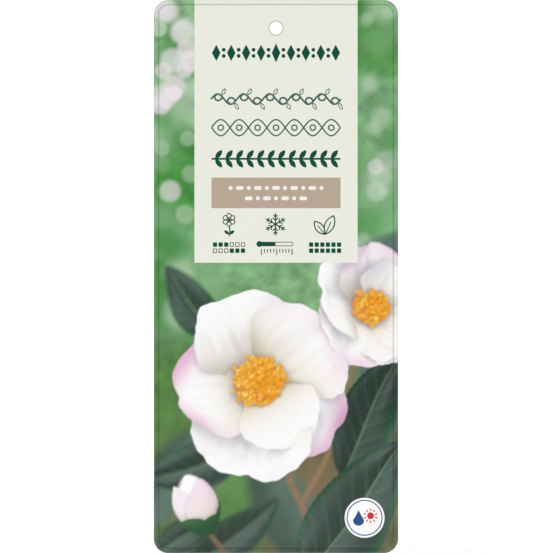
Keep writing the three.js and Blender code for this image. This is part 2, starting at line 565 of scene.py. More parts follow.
def stamens(to_world, spread, tall, count, seed, inks):
    """A dense golden boss: pale filaments, an anther on each tip, over a filled heart."""
    gold, deep, bright, filament = inks
    dice = random.Random(seed)
    bm = new_sketch()
    sketches = [bm]
    paint = bm.verts.layers.float_color["ink"]
    heart = bmesh.ops.create_uvsphere(
        bm, u_segments=28, v_segments=14, radius=1.0,
        matrix=to_world @ Matrix.Translation((0, 0, tall * 0.35))
        @ Matrix.Diagonal((spread * 0.92, spread * 0.92, tall * 0.55, 1)))["verts"]
    for vert in heart:
        vert[paint] = tuple(mix(deep, filament, 0.25)[:3]) + (1,)
    for i in range(count):
        if i % STAMENS_A_SKETCH == 0:
            bm = new_sketch()
            sketches.append(bm)
            paint = bm.verts.layers.float_color["ink"]
        share = math.sqrt((i + 0.5) / count)
        angle = i * GOLDEN_ANGLE + dice.uniform(-0.3, 0.3)
        reach = spread * share * dice.uniform(0.88, 1.1)
        top = tall * (1.05 - 0.55 * share ** 3) * dice.uniform(0.86, 1.08)
        out = Vector((math.cos(angle), math.sin(angle), 0))
        foot = out * spread * 0.5 * share
        tip = out * reach + Vector((0, 0, top))
        lean = (tip - foot).cross(Vector((0, 0, 1))).normalized() * HALF_STRAND

        def strand(a, b, foot=foot, tip=tip, lean=lean, out=out, share=share):
            t = (b + 1) / 2
            bow = out * spread * 0.14 * math.sin(math.pi * t) * share
            return to_world @ (foot.lerp(tip, t) + lean * a + bow), filament

        grow(bm, 1, 4, strand)
        turn = (Matrix.Rotation(dice.uniform(0, math.pi), 4, "Z")
                @ Matrix.Rotation(dice.uniform(-0.8, 0.8), 4, "X"))
        size = dice.uniform(0.85, 1.3) * MM
        body = (to_world @ Matrix.Translation(tip) @ turn
                @ Matrix.Diagonal((1.05 * size, 0.66 * size, 0.66 * size, 1)))
        ball = bmesh.ops.create_uvsphere(
            bm, u_segments=7, v_segments=5, radius=1.0, matrix=body)["verts"]
        tone = mix(mix(gold, bright, dice.uniform(0, 1) * (0.3 + 0.7 * share)), deep,
                   dice.uniform(0, 1) ** 1.5 * (1.25 - share))
        for vert in ball:
            vert[paint] = tuple(tone[:3]) + (1,)
    return sketches


def facing(centre, tip_up, turn_right):
    """The frame of a bloom at a place: its own Z looks at the reader, then tips and turns."""
    return (Matrix.Translation(centre)
            @ Matrix.Rotation(math.radians(turn_right), 4, "Z")
            @ Matrix.Rotation(math.radians(-tip_up), 4, "X")
            @ STAND_UP)


def axes_along(foot, tip):
    """Length and the three directions of a shoot: along it, to its side and to its front."""
    along = tip - foot
    size = along.length
    along = along / size
    sideways = along.cross(TOWARDS_READER).normalized()
    return size, along, sideways, sideways.cross(along)


def bud(bm, foot, tip, radius, seed, inks):
    """A plump bud: four petals wrapped round each other in a cup of six green scales."""
    white, cream, pink, green, dark = inks
    size, along, sideways, front = axes_along(foot, tip)

    def wrap(turn, reach, girth, base, top, low, high):
        def shape(x, y):
            a, b = to_disc(x, y)
            t = base + (top - base) * (b + 1) / 2
            angle = turn + a * reach
            swell = math.sin(math.pi * (0.07 + 0.86 * t)) ** 0.75
            bump = 1 + 0.05 * rough(a * 1.5, t * 2, turn + seed)
            out = sideways * math.sin(angle) + front * math.cos(angle)
            return (foot + along * (size * t) + out * (radius * girth * swell * bump),
                    mix(low, high, ramp(t, 0.1, 0.75)))
        return shape

    for k in range(4):
        grow(bm, 26, 26, wrap(seed + k * 2.3, 1.6, 1 + 0.055 * k, 0.0, 1.0 - 0.05 * k,
                              mix(cream, white, 0.5), mix(white, pink, 0.12 * k)))
    for k in range(6):
        grow(bm, 12, 12, wrap(seed + k * 1.05, 0.8, 1.25 + 0.02 * (k % 2), -0.05,
                              0.3 + 0.1 * (k % 2), dark, green))


# Cells across a leaf and along it.
LEAF_CELLS = (32, 96)


def leaf(bm, foot, tip, wide, fold, droop, seed, inks):
    """A leaf from its foot to its tip, folded on its midrib, with veins and a fine saw edge."""
    face, rim, vein = inks
    size, along, sideways, front = axes_along(foot, tip)

    def shape(a, b):
        # Cells crowd towards the midrib, so that it stays a fine line.
        a = a * math.sqrt(abs(a))
        v = (b + 1) / 2
        half = wide * math.sin(math.pi * v ** 0.8) ** 0.72 * (1 - 0.2 * v)
        u = a * half * (1 + 0.03 * abs(math.sin(v * 70)) * abs(a) ** 3)
        wave = rough(a * 0.8, v * 2.2, seed) * wide * 0.3
        arch = 0.1 * wide * math.sin(math.pi * min(abs(a) * 1.1, 1))
        lift = fold * abs(u) + arch - droop * size * (v - 0.3) ** 2 + wave * abs(a)
        vein_line = math.cos((v - 0.22 * abs(a)) * 16 * math.pi)
        quilt = 0.05 * MM * vein_line * math.sin(math.pi * abs(a))
        bend = sideways * (size * 0.06 * math.sin(math.pi * v + seed))
        mottle = rough(a * 1.5, v * 3.0, seed + 11)
        tint = mix(face, rim, 0.85 * ramp(abs(a), 0.72, 1.0) + 0.4 * ramp(mottle, 0.0, 0.6))
        tint = mix(tint, vein, 0.2 * ramp(vein_line, 0.86, 1.0) * (1 - 0.8 * abs(a)))
        tint = mix(tint, vein, 0.75 * (1 - ramp(abs(u), 0.08 * MM, 0.32 * MM)))
        return foot + along * (size * v) + sideways * u + front * (lift + quilt) + bend, tint

    grow(bm, *LEAF_CELLS, shape)


def twig(bm, points, thick, rgb, dark):
    """The near half of a round twig through a few points, tapering to its tip."""
    last = len(points) - 1

    def along(t):
        t = min(max(t, 0), 1) * last
        i = min(int(t), last - 1)
        before = points[max(i - 1, 0)]
        after = points[min(i + 2, last)]
        return catmull(before, points[i], points[i + 1], after, t - i)

    def shape(a, b):
        t = (b + 1) / 2
        here = along(t)
        ahead = (along(t + 0.01) - along(t - 0.01)).normalized()
        side = ahead.cross(TOWARDS_READER).normalized()
        angle = a * math.pi / 2
        radius = thick / 2 * (1 - 0.4 * t) * (1 + 0.1 * rough(t * 9, 0, 1))
        grain = rough(a * 3, t * 40, 2)
        spot = here + side * (radius * math.sin(angle)) + TOWARDS_READER * (
            radius * math.cos(angle))
        return spot, mix(rgb, dark, 0.35 + 0.5 * grain)

    grow(bm, 8, 14 * last, shape)


def catmull(p0, p1, p2, p3, t):
    """A point between p1 and p2 on a smooth curve through four points."""
    return (p1 * 2 + (p2 - p0) * t + (p0 * 2 - p1 * 5 + p2 * 4 - p3) * t * t
            + (p1 * 3 - p0 - p2 * 3 + p3) * t * t * t) / 2


def spot_at(x, y, back):
    """A point of the spray, in millimetres across, down and behind the label's front."""
    return Vector((across(x), back * MM, down(y)))


# ---------------------------------------------------------------- light and lens

KEY_LIGHT = Vector((-0.45, -0.62, 0.64)).normalized()
GLANCE = (KEY_LIGHT + TOWARDS_READER).normalized()
SKY_RAYS = 64
SHADOW_REACH = 34 * MM
# Neighbours nearer than this cast no shade, so petals that touch leave no dark seam.
SHADOW_GAP = 0.5 * MM
# How often each point's light is evened out with its neighbours'.
PAINT_SMOOTHING = 2
# What each of red, green and blue loses on a petal in full shade, and the sky on a waxy leaf.
PETAL_SHADE = (0.46, 0.48, 0.42)
SKY_ON_WAX = ink("#7F938E")[:3]

# The lens: what lies at the focus is sharp, and the rest is blurred by how far off it lies. Its
# rays start this far before the focus, and meet there in one cell of the print.
FOCUS_BACK = -4 * MM
LENS_RAYS = 12
LENS_SPREAD = 0.026
LENS_AWAY = 90 * MM
PRINT_CELL = 0.39 * MM


def sky_directions():
    """Evenly spread directions with the strength of the soft light that comes from each."""
    found = []
    for i in range(SKY_RAYS):
        up = 1 - 2 * (i + 0.5) / SKY_RAYS
        level = math.sqrt(1 - up * up)
        angle = i * GOLDEN_ANGLE
        way = Vector((level * math.cos(angle), level * math.sin(angle), up))
        # No light comes from far behind the spray.
        if way.y < 0.25:
            found.append((way, 0.45 + 1.9 * max(0, way.dot(KEY_LIGHT)) ** 4))
    return found


def lens_rays():
    """Ways through the lens, and the sideways step of each within a cell of the print."""
    rays = []
    for i in range(LENS_RAYS):
        angle = i * GOLDEN_ANGLE
        reach = LENS_SPREAD * math.sqrt((i + 0.5) / LENS_RAYS)
        step = 0.5 * PRINT_CELL * math.sqrt(1 - (i + 0.5) / LENS_RAYS)
        way = Vector((reach * math.cos(angle), 1, reach * math.sin(angle)))
        rays.append((way, Vector((step * math.cos(angle + 1), 0, step * math.sin(angle + 1)))))
    return rays


def petal_light(level, rgb, glance):
    """Thin white petals glow, so their shade is light, and a little mauve."""
    dark = 1 - ramp(level, 0.1, 0.92)
    return tuple(c * (1 - loss * dark) for c, loss in zip(rgb, PETAL_SHADE))


def boss_light(level, rgb, glance):
    """Pollen is bright and saturated, and goes deep orange in its own shade."""
    lit = 0.5 + 0.6 * min(level, 1.1)
    return (rgb[0] * (0.4 + 0.6 * lit), rgb[1] * lit ** 1.1, rgb[2] * lit ** 2)


def leaf_light(level, rgb, glance):
    """A waxy leaf is dark where it looks away, and grey with the sky where it glances."""
    lit = 0.28 + 0.64 * min(level, 1.25)
    return mix(tuple(c * lit for c in rgb), SKY_ON_WAX, 0.3 * glance ** 12)


def bark_light(level, rgb, glance):
    """Bark is dull, and darkens evenly in the shade."""
    lit = 0.3 + 0.75 * min(level, 1.2)
    return tuple(c * lit for c in rgb)


class Spray:
    """The modelled blooms, leaves and twigs as one search tree of painted faces."""

    def __init__(self, parts):
        """parts are pairs of a sketch and the function that lights its paint."""
        self.corners, self.faces, self.paint = [], [], []
        for bm, _ in parts:
            start = len(self.corners)
            bm.normal_update()
            bm.verts.index_update()
            self.corners += [v.co.copy() for v in bm.verts]
            self.faces += [[v.index + start for v in f.verts] for f in bm.faces]
        self.tree = BVHTree.FromPolygons(self.corners, self.faces)
        self.sky = sky_directions()
        self.full = sum(power * max(0, way.dot(TOWARDS_READER)) for way, power in self.sky)
        for bm, answer in parts:
            self.light(bm, answer)

    def light(self, bm, answer):
        """answer(light, colour, glance) gives the lit colour of a point."""
        paint = bm.verts.layers.float_color["ink"]
        normals = [v.normal if v.normal.y < 0 else -v.normal for v in bm.verts]
        levels = [self.level(v.co, normal) for v, normal in zip(bm.verts, normals)]
        for _ in range(PAINT_SMOOTHING):
            levels = [
                (levels[v.index] + sum(levels[e.other_vert(v).index] for e in v.link_edges))
                / (1 + len(v.link_edges)) for v in bm.verts]
        for vert, normal, level in zip(bm.verts, normals, levels):
            rgb = answer(level, tuple(vert[paint]), max(0, normal.dot(GLANCE)))
            self.paint.append(Vector(rgb[:3]))

    def level(self, point, normal):
        """Soft light on a point, as a share of what an open face gets that looks ahead."""
        # What lies well beside the label is never printed.
        if abs(point.x) > HALF_WIDTH + SHADOW_REACH / 4:
            return 1.0
        start = point + normal * SHADOW_GAP
        gathered = 0.0
        for way, power in self.sky:
            slant = normal.dot(way)
            if slant > 0.02 and self.tree.ray_cast(start, way, SHADOW_REACH)[0] is None:
                gathered += slant * power
        return gathered / self.full

    def seen(self, x, z, rays, backdrop):
        """Colour of the spray at a place on the print; backdrop() gives it where it is open."""
        total = Vector((0, 0, 0))
        behind = None
        for way, step in rays:
            start = Vector((x, FOCUS_BACK, z)) + step - way * LENS_AWAY
            hit, _, index, _ = self.tree.ray_cast(start, way)
            if hit is None:
                behind = behind or Vector(backdrop())
                total += behind
                continue
            around = self.faces[index]
            shares = poly_3d_calc([self.corners[i] for i in around], hit)
            for i, share in zip(around, shares):
                total += self.paint[i] * share
        return total / len(rays)


# ---------------------------------------------------------------- the soft garden behind

# Tones down the left and right of the garden, each from so many millimetres down.
GARDEN_BANDS = (
    (0, "pale", "fresh"),
    (22, "pale", "fresh"),
    (36, "pale", "mid"),
    (48, "mid", "mid"),
    (62, "fresh", "mid"),
    (78, "fresh", "mid"),
    (92, "mid", "mid"),
    (104, "mid", "pale"),
    (130, "moss", "mid"),
    (160, "moss", "olive"),
    (190, "olive", "olive"),
    (213, "moss", "olive"),
)
# Patches out of focus: across, down, radius, tone, strength and edge softness.
GARDEN_SPOTS = (
    (60, 190, 15, "earth", 0.8, 1.0),
    (48, 204, 10, "earth", 0.55, 1.0),
    (34, 188, 14, "fresh", 0.6, 1.0),
    (28, 204, 9, "moss", 0.6, 1.0),
    (8, 172, 12, "moss", 0.7, 1.0),
    (88, 106, 9, "pale", 0.7, 1.0),
    (18, 108, 9, "pale", 0.6, 1.0),
    (6, 98, 8, "deep", 0.5, 1.0),
    (5, 126, 8, "mid", 0.6, 1.0),
    (8, 70, 11, "deep", 0.45, 1.0),
    (86, 71, 10, "mid", 0.5, 1.0),
    (86, 14, 10, "moss", 0.35, 1.0),
)
# Scattered patches: left edge, width, top, bottom, count, least and greatest radius, tones,
# least and greatest strength, and edge softness. Mottles first, then discs of light.
GARDEN_FIELDS = (
    (-1, 18, 0, 128, 34, 2.2, 6.0, ("deep", "fresh", "mid", "pale", "glint"), 0.35, 0.75, 0.7),
    (77, 18, 0, 128, 34, 2.2, 6.0, ("deep", "fresh", "mid", "mid", "glint"), 0.25, 0.6, 0.7),
    (0, 15, 2, 42, 18, 2.8, 4.6, ("light", "light", "glint"), 0.4, 0.9, 0.28),
    (2, 13, 50, 94, 5, 2.8, 4.4, ("light", "glint", "glint"), 0.15, 0.5, 0.28),
    (83, 9, 52, 96, 4, 2.8, 4.2, ("light", "glint", "glint"), 0.15, 0.5, 0.28),
    (80, 13, 3, 96, 7, 1.8, 3.2, ("glint",), 0.1, 0.4, 0.45),
)
# Large leaves out of focus: foot and tip (across, down), half width and blur.
GARDEN_LEAVES = (
    ((104, 92), (66, 118), 11, 2.6),
    ((104, 118), (80, 156), 12, 2.2),
    ((-8, 206), (14, 166), 9, 3.2),
    ((66, 222), (36, 172), 12, 3.4),
)
# None of them reaches above this, in millimetres down.
GARDEN_LEAVES_FROM = 70
# Uneven light on the garden: patches a millimetre, strength and layer of the noise.
GARDEN_MOTTLES = ((0.11, 0.42, 5), (0.27, 0.26, 9), (0.6, 0.12, 13))
GARDEN_SEED = 14


class Garden:
    """The soft backdrop: bands of green, scattered patches and a few large leaves."""

    def __init__(self, look):
        tones = {key: tuple(getattr(look, key)) for key in look.__annotations__}
        self.bands = [(y, tones[left], tones[right]) for y, left, right in GARDEN_BANDS]
        self.leaf_tones = tones["shade"], tones["sheen"]
        self.spots = [(x, y, radius, tones[tone], strength, soft)
                      for x, y, radius, tone, strength, soft in GARDEN_SPOTS]
        dice = random.Random(GARDEN_SEED)
        for (left_edge, wide, top, bottom, count, small, large, names, faint, strong,
             soft) in GARDEN_FIELDS:
            for _ in range(count):
                x = left_edge + dice.uniform(0, wide)
                y = dice.uniform(top, bottom)
                self.spots.append((x, y, dice.uniform(small, large), tones[dice.choice(names)],
                                   dice.uniform(faint, strong), soft))

    def colour(self, x, y):
        """Colour at millimetres across and down the label."""
        low, high = self.bands[0], self.bands[-1]
        for first, second in zip(self.bands, self.bands[1:]):
            if first[0] <= y <= second[0]:
                low, high = first, second
        share = (y - low[0]) / (high[0] - low[0])
        rgb = mix(mix(low[1], high[1], share), mix(low[2], high[2], share), ramp(x, 20, 74))
        mottle = sum(power * rough(x * fine, y * fine, layer)
                     for fine, power, layer in GARDEN_MOTTLES)
        rgb = tuple(c * (1 + mottle) for c in rgb)
        for spot_x, spot_y, radius, tone, strength, soft in self.spots:
            away = math.hypot(x - spot_x, y - spot_y)
            if away < radius * (1 + soft):
                cover = 1 - ramp(away, radius * (1 - soft), radius * (1 + soft))
                rgb = mix(rgb, tone, strength * cover)
        if y > GARDEN_LEAVES_FROM:
            for soft_leaf in GARDEN_LEAVES:
                cover, tone = self.soft_leaf_at(x, y, *soft_leaf)
                rgb = mix(rgb, tone, cover)
        return rgb

    def soft_leaf_at(self, x, y, foot, tip, half, blur):
        """How much an out-of-focus leaf covers a place, and its colour there."""
        along = Vector(tip) - Vector(foot)
        size = along.length
        away = Vector((x, y)) - Vector(foot)
        v = away.dot(along) / size / size
        u = (along.x * away.y - along.y * away.x) / size
        outline = half * math.sin(math.pi * min(max(v, 0.001), 0.999) ** 0.86) ** 0.75
        past_end = max(-v, v - 1, 0) * size
        cover = 1 - ramp(math.hypot(abs(u), past_end * 1.5), outline - blur, outline + blur)
        share = 0.5 + 0.5 * math.tanh(u / half * 3) + 0.4 * rough(x * 0.12, y * 0.12, half)
        return cover, mix(*self.leaf_tones, share)


# ---------------------------------------------------------------- operators

# Patterns of the plastics, by the width of their spots.
CORE_HAZE = 0.8 * MM
BACK_TOOTH = 0.5 * MM
BACK_CLOUD = 30 * MM


class LABEL_OT_card(bpy.types.Operator):
    """Give the core and the back film their plastics"""
    bl_idname = "label.card"
    bl_label = "Card and back film"

    def execute(self, context):
        core, film = self.core_plastic(), self.back_plastic()
        for name, material in (("core_sheet", core), ("hang_strip", core), ("back_film", film)):
            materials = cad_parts[name].data.materials
            materials.clear()
            materials.append(material)
        return {"FINISHED"}

    def core_plastic(self):
        """Filled polypropylene sheet: opaque white, matt where it is cut at the card's edge."""
        material, tree = new_material("white_polypropylene_core")
        spot = add_node(tree, "TexCoord").outputs["Object"]
        haze = add_node(tree, "TexNoise", {"Vector": spot, "Scale": 1 / CORE_HAZE, "Detail": 3.0})
        tone = add_node(
            tree, "Mix", {"Factor": haze, "A": ink("#E9E9E4"), "B": ink("#F4F4F1")},
            data_type="RGBA")
        dull = add_node(tree, "MapRange", {"Value": haze, "To Min": 0.5, "To Max": 0.68})
        close_shader(tree, {"Base Color": tone, "Roughness": dull, "IOR": 1.49})
        return material

    def back_plastic(self):
        """Satin polyester film: milky white, with a fine tooth and a long faint cloud."""
        material, tree = new_material("satin_polyester_back_film")
        spot = add_node(tree, "TexCoord").outputs["Object"]
        tooth = add_node(tree, "TexNoise", {"Vector": spot, "Scale": 1 / BACK_TOOTH, "Detail": 4.0})
        cloud = add_node(tree, "TexNoise", {"Vector": spot, "Scale": 1 / BACK_CLOUD, "Detail": 1.0})
        tone = add_node(
            tree, "Mix", {"Factor": cloud, "A": ink("#EDEEEA"), "B": ink("#F5F5F2")},
            data_type="RGBA")
        satin = add_node(tree, "MapRange", {"Value": tooth, "To Min": 0.32, "To Max": 0.48})
        bump = add_node(tree, "Bump", {"Height": tooth, "Strength": 0.1, "Distance": 0.02 * MM})
        close_shader(tree, {"Base Color": tone, "Roughness": satin, "Normal": bump, "IOR": 1.57})
        return material


class LABEL_OT_picture(bpy.types.Operator):
    """Print the picture: a soft garden, with white blooms, a bud, leaves and twigs before it"""
    bl_idname = "label.picture"
    bl_label = "Printed picture"

    def execute(self, context):
        spray = self.model_spray(context.scene.picture_print)
        bm = self.print_sheet(spray, Garden(context.scene.garden_print))
        keep_piece("printed_picture", bm, picture_ink("laminated_offset_print"),
                   ("picture_face",))
        return {"FINISHED"}

    def print_sheet(self, spray, garden):
        """The printed sheet round the panel, painted with the garden and the spray."""
        rays = lens_rays()
        bm = new_sketch()

        def shape(a, b):
            x = a * HALF_WIDTH
            z = LABEL_MIDDLE + b * HALF_HEIGHT
            point = Vector((x, depth(PRINT_LIFT), z))
            if behind_panel(x, z, PRINT_CELL):
                return point, (0, 0, 0)

            def backdrop():
                return garden.colour((x + HALF_WIDTH) / MM, (LABEL_TOP - z) / MM)

            beside_spray = z < PANEL_LOW.z + SPRAY_OVER_PANEL
            return point, spray.seen(x, z, rays, backdrop) if beside_spray else backdrop()

        grow(bm, round(2 * HALF_WIDTH / PRINT_CELL), round(2 * HALF_HEIGHT / PRINT_CELL), shape)
        # The panel takes the place of the picture behind it.
        for point, way in (((PANEL_LOW.x, 0, 0), (1, 0, 0)), ((PANEL_HIGH.x, 0, 0), (1, 0, 0)),
                           ((0, 0, PANEL_LOW.z), (0, 0, 1))):
            bmesh.ops.bisect_plane(
                bm, geom=bm.verts[:] + bm.edges[:] + bm.faces[:], dist=CUT_TOLERANCE,
                plane_co=point, plane_no=way)
        middles = {f: f.calc_center_median() for f in bm.faces}
        hidden = [f for f, middle in middles.items() if behind_panel(middle.x, middle.z, 0)]
        bmesh.ops.delete(bm, geom=hidden, context="FACES")
        trim_to_label(bm)
        # The face's cut edge: the rim goes straight back to the core.
        rim = [e for e in bm.edges if e.is_boundary]
        skirt = bmesh.ops.extrude_edge_only(bm, edges=rim)["geom"]
        for vert in (v for v in skirt if isinstance(v, bmesh.types.BMVert)):
            vert.co.y = FACE_BACK
        turn_faces(bm, TOWARDS_READER)
        return bm

    def model_spray(self, look):
        """Model the blooms, leaves and twigs, and light them."""
        blooms, leaves, wood = (new_sketch() for _ in range(3))
        bosses = self.draw_blooms(blooms, look)
        self.draw_leaves(leaves, look)
        self.draw_twigs(wood, look)
        parts = [(blooms, petal_light), (leaves, leaf_light), (wood, bark_light)]
        parts += [(boss, boss_light) for boss in bosses]
        spray = Spray(parts)
        for bm, _ in parts:
            bm.free()
        return spray

    def draw_blooms(self, blooms, look):
        """Add the blooms' petals and the bud to a sketch; returns the sketches of stamens."""
        bosses = []
        white, cream, pink, green, gold = (tuple(c) for c in (
            look.petal_colour, look.throat_colour, look.blush_colour, look.rim_colour,
            look.anther_colour))
        for place_on, tip_up, turn_right, petals, spread, tall, count in BLOOMS:
            base = facing(spot_at(*place_on), tip_up, turn_right)
            for seed, form in enumerate(petals):
                forward = Matrix.Translation((0, 0, PETAL_STEP * seed))
                petal(blooms, look.petal_cells, base @ forward, form, 3.7 * seed + tall,
                      (white, cream, THROAT_OLIVE, pink))
            ahead = Matrix.Translation((0, 0, PETAL_STEP * len(petals) / 2))
            bosses += stamens(base @ ahead, spread * MM, tall * MM, count, count,
                              (gold, DEEP_GOLD, BRIGHT_GOLD, FILAMENT))
        foot, tip, radius, seed = BUD
        bud(blooms, spot_at(*foot), spot_at(*tip), radius * MM, seed,
            (white, cream, pink, mix(green, SEPAL_GREEN, 0.5), green))
        return bosses

    def draw_leaves(self, bm, look):
        """Add the leaves to a sketch."""
        inks = (tuple(look.leaf_colour), tuple(look.rim_colour), tuple(look.vein_colour))
        for foot, tip, wide, fold, droop, seed in LEAVES:
            leaf(bm, spot_at(*foot), spot_at(*tip), wide * MM, fold, droop, seed, inks)

    def draw_twigs(self, bm, look):
        """Add the twigs to a sketch."""
        for thick, places in TWIGS:
            points = [spot_at(*place_on) for place_on in places]
            twig(bm, points, thick * MM, tuple(look.twig_colour), BARK_SHADE)


def behind_panel(x, z, margin):
    """Whether a place on the picture lies under the panel, by more than the margin."""
    return (PANEL_LOW.x + margin < x < PANEL_HIGH.x - margin) and z > PANEL_LOW.z + margin


# How far above the panel's foot the spray may reach beside it, and how far each petal of a
# bloom lies before the last.
SPRAY_OVER_PANEL = 14 * MM
PETAL_STEP = 0.9 * MM

# Inks of the plants' small parts.
THROAT_OLIVE = ink("#AC9A66")
DEEP_GOLD = ink("#EF9412")
BRIGHT_GOLD = ink("#FFE27A")
FILAMENT = ink("#FBEDB0")
SEPAL_GREEN = ink("#7FA65A")
BARK_SHADE = ink("#66503A")

# Petals of a bloom, back ones first: turn round the bloom's axis, lean towards the reader and
# roll on its own length in degrees, length in millimetres, width as a share of the length, then
# rise, flare and cup as shares of the length, and the strength of the blush.
OPEN_BLOOM = (
    (24, 12, 9, 38, 0.60, 0.20, 0.24, 0.12, 0.0),
    (98, 16, 8, 36, 0.58, 0.18, 0.20, 0.12, 0.9),
    (170, 8, 10, 38, 0.64, 0.24, 0.36, 0.10, 0.0),
    (240, 6, 9, 36, 0.62, 0.20, 0.26, 0.12, 1.0),
    (312, 18, 8, 37, 0.60, 0.20, 0.20, 0.14, 0.35),
    (206, 20, 7, 31, 0.54, 0.26, 0.30, 0.16, 0.0),
)
SIDE_BLOOM = (
    (0, 26, 9, 27, 0.66, 0.20, 0.18, 0.16, 0.8),
    (74, 18, 8, 26, 0.66, 0.20, 0.24, 0.14, 0.0),
    (140, 16, 9, 27, 0.66, 0.22, 0.30, 0.12, 0.5),
    (214, 22, 8, 26, 0.66, 0.22, 0.24, 0.14, 0.0),
    (286, 30, 8, 26, 0.66, 0.20, 0.16, 0.18, 0.6),
    (330, 40, 7, 22, 0.60, 0.24, 0.22, 0.20, 0.0),
)
# Place, degrees tipped up and turned right, petals, then the boss's radius and height in
# millimetres and its count of stamens.
BLOOMS = (
    ((39, 149, -2), 10, 12, OPEN_BLOOM, 10.6, 12.5, 280),
    ((79, 120, 12), 14, 34, SIDE_BLOOM, 7.6, 11.0, 170),
)
# Foot, tip, radius in millimetres and seed.
BUD = ((21, 205, 12), (11, 183, 6), 7.6, 0.4)
# Foot and tip, half width in millimetres, fold, droop and seed.
LEAVES = (
    ((54, 220, 9), (98, 172, 4), 17, 0.16, 0.12, 1.0),
    ((70, 182, 15), (99, 136, 9), 12.5, 0.20, 0.14, 2.0),
    ((34, 172, 28), (-5, 184, 30), 10.5, 0.22, 0.20, 3.0),
    ((26, 128, 30), (3, 103, 34), 9, 0.22, 0.25, 4.0),
    ((16, 222, 34), (46, 190, 30), 9.5, 0.25, 0.2, 5.0),
    ((20, 204, 30), (-4, 216, 30), 7, 0.25, 0.2, 7.0),
)
# Thickness, and the places that a twig passes.
TWIGS = (
    (3.4, ((62, 220, 42), (60, 202, 40), (53, 186, 36), (45, 164, 30))),
    (2.4, ((57, 194, 38), (66, 178, 36), (72, 160, 34), (78, 138, 30))),
    (2.2, ((30, 222, 40), (27, 213, 30), (22, 206, 18), (18, 200, 12))),
)


# The tint changes between these places above the pressed line, measured from the top edge, and
# is clouded a little by spots of this width.
STRIP_STARTS = 1.6 * MM
STRIP_ENDS = 2.1 * MM
PANEL_CLOUD = 16 * MM


class LABEL_OT_panel(bpy.types.Operator):
    """Print the pale panel and its band"""
    bl_idname = "label.panel"
    bl_label = "Panel and band"

    def execute(self, context):
        look = context.scene.panel_print
        thickness = depth(0) - depth(PRINT_LIFT)
        # The panel's outline, with the band's place and the hole left open in it.
        bm = bmesh.new()
        box_sheet(bm, PANEL_LOW, PANEL_HIGH)
        box_sheet(bm, BAND_LOW, BAND_HIGH)
        bmesh.ops.create_circle(bm, cap_ends=False, segments=HOLE_SIDES, radius=HOLE_RADIUS)
        lay_low(bm, bm.verts[:])
        bmesh.ops.delete(bm, geom=bm.faces[:], context="FACES_ONLY")
        bmesh.ops.triangle_fill(bm, use_beauty=True, use_dissolve=False, edges=bm.edges[:])
        turn_faces(bm, (0, 0, 1))
        print_flat(bm, PRINT_LIFT, thickness)
        keep_piece("pale_panel", bm, self.panel_material(look), ("panel_face",))

        bm = bmesh.new()
        box_sheet(bm, BAND_LOW, BAND_HIGH)
        lay_low(bm, bm.verts[:])
        print_flat(bm, PRINT_LIFT, thickness)
        keep_piece("brown_band", bm, plain_ink("taupe_ink_under_film", look.band_colour),
                   ("band_face",))
        return {"FINISHED"}

    def panel_material(self, look):
        """Ivory tint ink: even and pale, greener where it runs off above the pressed line."""
        material, tree = new_material("ivory_ink_under_film")
        spot = add_node(tree, "TexCoord").outputs["Object"]
        height = add_node(tree, "SeparateXYZ", {"Vector": spot}).outputs["Z"]
        strip = add_node(
            tree, "MapRange",
            {"Value": height, "From Min": LABEL_TOP - STRIP_ENDS,
             "From Max": LABEL_TOP - STRIP_STARTS})
        cloud = add_node(tree, "TexNoise", {"Vector": spot, "Scale": 1 / PANEL_CLOUD, "Detail": 2.0})
        cloud = add_node(tree, "MapRange", {"Value": cloud, "To Min": 0.0, "To Max": 0.16})
        share = add_node(tree, "Math", {0: strip, 1: cloud}, operation="MAXIMUM")
        tone = add_node(
            tree, "Mix",
            {"Factor": share, "A": (*look.panel_colour, 1), "B": (*look.edge_colour, 1)},
            data_type="RGBA")
        film_over(tree, tone, PANEL_GRAIN)
        return material


# The ring is printed round the hole, and stops a hair short of its edge.
RING_WIDTH = 0.5 * MM
RING_GAP = 0.02 * MM

# How far each row of ornament lies below the label's top edge, in millimetres, and how many
# bars and beads each row on the band has.
LOZENGES_DOWN = 20.4
VINE_DOWN = 38.2
CHAIN_DOWN = 49.2
GARLAND_DOWN = 61.2
BEAD_ROWS = ((72.4, 11), (76.4, 7))
BEAD_INK = ink("#F6F1EC")[:3]
# Where the garland's first pair of leaves stands, in millimetres from the left edge.
GARLAND_START = 23.6


